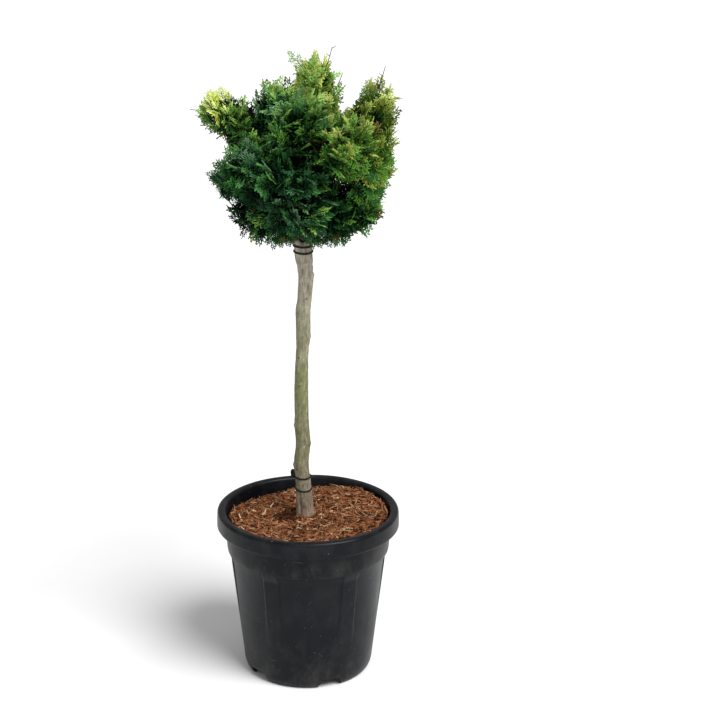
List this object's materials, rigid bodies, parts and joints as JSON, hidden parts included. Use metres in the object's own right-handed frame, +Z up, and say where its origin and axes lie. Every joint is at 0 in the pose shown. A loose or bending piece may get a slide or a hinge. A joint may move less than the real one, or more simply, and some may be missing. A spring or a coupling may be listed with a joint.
{
  "type": "grafted dwarf cypress standard in a nursery pot",
  "caption": "Dwarf cypress grafted as a standard: a loose many-peaked head of flat evergreen sprays on a bare tied stem, rooted in bark mulch in a round dark nursery pot.",
  "frame": {"origin": "middle of the pot's underside, on the round pad level with its feet", "axes": "+Z up along the pot's axis; -Y towards the front of the plant, +X to its right as seen from the front"},
  "size_m": [0.3294, 0.3134, 1.0687],
  "materials": {
    "pot_plastic": "satin charcoal moulded plastic, dusty and lightly scratched",
    "bark_mulch": "matt shredded reddish-brown bark",
    "bark": "matt grey-beige bark with green algae and dark specks",
    "tie_rubber": "matt black tie",
    "foliage_green": "matt deep to mid green scale leaves",
    "foliage_lime": "matt bright yellow-green young tips",
    "foliage_olive": "matt olive green with yellow tips"
  },
  "bodies": {
    "root": {"pot": "pot_plastic", "growing_medium": "bark_mulch", "trunk": "bark", "bough_leader": "bark", "bough_left": "bark", "bough_right": "bark", "bough_front_left": "bark", "bough_front_right": "bark", "bough_back_left": "bark", "bough_back_right": "bark", "tie_low": "tie_rubber", "tie_foot": "tie_rubber", "tie_graft": "tie_rubber", "tie_top": "tie_rubber", "tie_knot": "tie_rubber", "foliage_low_left": "foliage_green", "foliage_low_front": "foliage_green", "foliage_low_right": "foliage_green", "foliage_low_back": "foliage_green", "foliage_left_shoulder": "foliage_green", "foliage_front_left": "foliage_green", "foliage_front_mid": "foliage_green", "foliage_front_right": "foliage_olive", "foliage_right_flank": "foliage_olive", "foliage_back_right": "foliage_green", "foliage_back_left": "foliage_green", "foliage_front_high": "foliage_green", "foliage_back_high": "foliage_green", "foliage_left_horn": "foliage_lime", "foliage_centre_shoulder": "foliage_green", "foliage_centre_peak": "foliage_lime", "foliage_right_horn": "foliage_olive", "foliage_heart": "foliage_green"}
  },
  "joints": []
}
